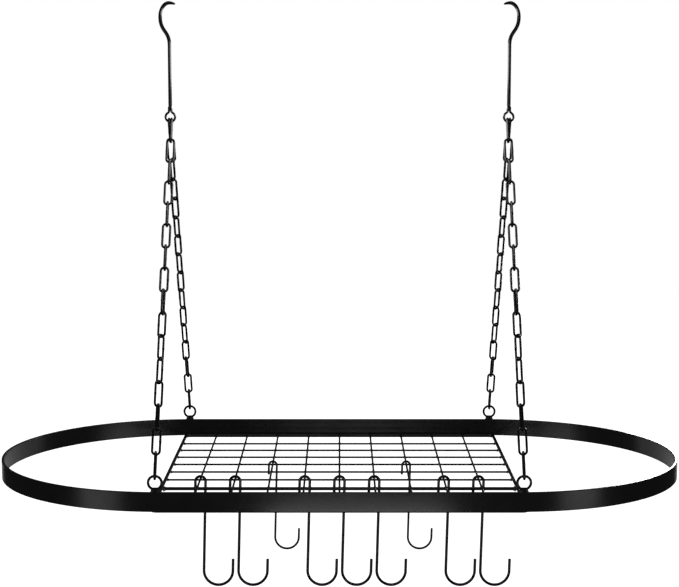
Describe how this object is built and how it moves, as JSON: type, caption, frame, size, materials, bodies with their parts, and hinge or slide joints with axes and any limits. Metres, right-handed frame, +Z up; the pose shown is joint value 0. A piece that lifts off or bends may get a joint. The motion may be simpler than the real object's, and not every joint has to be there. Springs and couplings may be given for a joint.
{
  "type": "hanging pot rack",
  "caption": "Oval steel pot rack with a welded wire grid, hung by link chains from ceiling hooks, with loose S-hooks for pans.",
  "frame": {"origin": "midway between the two places where the crooks of the ceiling hooks bear, at the inside top of the crooks", "axes": "+Z up, +X along the oval's length to the right, +Y away from the viewer across the oval's depth"},
  "size_m": [0.838, 0.439, 0.7141],
  "materials": {
    "black_powder_coat": "satin black powder coat on steel",
    "black_chain": "semi-gloss black coat on bent steel wire",
    "black_hook": "semi-gloss black coat on bent steel rod"
  },
  "bodies": {
    "ceiling_hooks": {"ceiling_hook_left": "black_hook", "ceiling_hook_right": "black_hook"},
    "first_links": {"chain_front_left_link_01": "black_chain", "chain_back_left_link_01": "black_chain", "chain_front_right_link_01": "black_chain", "chain_back_right_link_01": "black_chain"},
    "left_chains": {"chain_front_left_links_02_03": "black_chain", "chain_front_left_links_04_05": "black_chain", "chain_front_left_links_06_07": "black_chain", "chain_front_left_links_08_09": "black_chain", "chain_front_left_links_10_11": "black_chain", "chain_front_left_links_12_13": "black_chain", "chain_front_left_links_14_15": "black_chain", "chain_front_left_link_16": "black_chain", "chain_back_left_links_02_03": "black_chain", "chain_back_left_links_04_05": "black_chain", "chain_back_left_links_06_07": "black_chain", "chain_back_left_links_08_09": "black_chain", "chain_back_left_links_10_11": "black_chain", "chain_back_left_links_12_13": "black_chain", "chain_back_left_links_14_15": "black_chain", "chain_back_left_link_16": "black_chain"},
    "right_chains": {"chain_front_right_links_02_03": "black_chain", "chain_front_right_links_04_05": "black_chain", "chain_front_right_links_06_07": "black_chain", "chain_front_right_links_08_09": "black_chain", "chain_front_right_links_10_11": "black_chain", "chain_front_right_links_12_13": "black_chain", "chain_front_right_links_14_15": "black_chain", "chain_front_right_link_16": "black_chain", "chain_back_right_links_02_03": "black_chain", "chain_back_right_links_04_05": "black_chain", "chain_back_right_links_06_07": "black_chain", "chain_back_right_links_08_09": "black_chain", "chain_back_right_links_10_11": "black_chain", "chain_back_right_links_12_13": "black_chain", "chain_back_right_links_14_15": "black_chain", "chain_back_right_link_16": "black_chain"},
    "rack": {"oval_band": "black_powder_coat", "wire_grid": "black_powder_coat", "ring_eye_front_left": "black_powder_coat", "ring_eye_back_left": "black_powder_coat", "ring_eye_front_right": "black_powder_coat", "ring_eye_back_right": "black_powder_coat"},
    "s_hook_1": {"s_hook_1": "black_hook"},
    "s_hook_2": {"s_hook_2": "black_hook"},
    "s_hook_3": {"s_hook_3": "black_hook"},
    "s_hook_4": {"s_hook_4": "black_hook"},
    "s_hook_5": {"s_hook_5": "black_hook"},
    "s_hook_6": {"s_hook_6": "black_hook"},
    "s_hook_7": {"s_hook_7": "black_hook"},
    "s_hook_8": {"s_hook_8": "black_hook"},
    "s_hook_9": {"s_hook_9": "black_hook"}
  },
  "joints": [
    {"name": "front_back_swing", "type": "hinge", "parent": "ceiling_hooks", "child": "first_links", "pos_m": [0, 0, -0.14083], "axis": [1, 0, 0], "range_deg": [-15, 15]},
    {"name": "left_chain_swing", "type": "hinge", "parent": "first_links", "child": "left_chains", "pos_m": [-0.207, 0, -0.16541], "axis": [0, 1, 0], "range_deg": [-8, 8]},
    {"name": "right_chain_swing", "type": "hinge", "parent": "first_links", "child": "right_chains", "pos_m": [0.207, 0, -0.16541], "axis": [0, 1, 0], "range_deg": [-8, 8]},
    {"name": "rack_levelling", "type": "hinge", "parent": "left_chains", "child": "rack", "pos_m": [-0.207, 0, -0.53121], "axis": [0, 1, 0], "range_deg": [-8, 8]},
    {"name": "s_hook_1_tip", "type": "hinge", "parent": "rack", "child": "s_hook_1", "pos_m": [-0.17, -0.0523, -0.57185], "axis": [1, 0, 0], "range_deg": [-20, 20]},
    {"name": "s_hook_2_tip", "type": "hinge", "parent": "rack", "child": "s_hook_2", "pos_m": [-0.1275, -0.0523, -0.57185], "axis": [1, 0, 0], "range_deg": [-20, 20]},
    {"name": "s_hook_3_tip", "type": "hinge", "parent": "rack", "child": "s_hook_3", "pos_m": [-0.085, 0.0335, -0.5722], "axis": [1, 0, 0], "range_deg": [-20, 20]},
    {"name": "s_hook_4_tip", "type": "hinge", "parent": "rack", "child": "s_hook_4", "pos_m": [-0.0425, -0.0523, -0.57185], "axis": [1, 0, 0], "range_deg": [-20, 20]},
    {"name": "s_hook_5_tip", "type": "hinge", "parent": "rack", "child": "s_hook_5", "pos_m": [0, -0.0523, -0.57185], "axis": [1, 0, 0], "range_deg": [-20, 20]},
    {"name": "s_hook_6_tip", "type": "hinge", "parent": "rack", "child": "s_hook_6", "pos_m": [0.0425, -0.0523, -0.57185], "axis": [1, 0, 0], "range_deg": [-20, 20]},
    {"name": "s_hook_7_tip", "type": "hinge", "parent": "rack", "child": "s_hook_7", "pos_m": [0.085, 0.0335, -0.5722], "axis": [1, 0, 0], "range_deg": [-20, 20]},
    {"name": "s_hook_8_tip", "type": "hinge", "parent": "rack", "child": "s_hook_8", "pos_m": [0.1275, -0.0523, -0.57185], "axis": [1, 0, 0], "range_deg": [-20, 20]},
    {"name": "s_hook_9_tip", "type": "hinge", "parent": "rack", "child": "s_hook_9", "pos_m": [0.17, -0.0523, -0.57185], "axis": [1, 0, 0], "range_deg": [-20, 20]}
  ],
  "couplings": [
    {"joint": "right_chain_swing", "follows": "left_chain_swing", "ratio": 1},
    {"joint": "rack_levelling", "follows": "left_chain_swing", "ratio": -1}
  ]
}
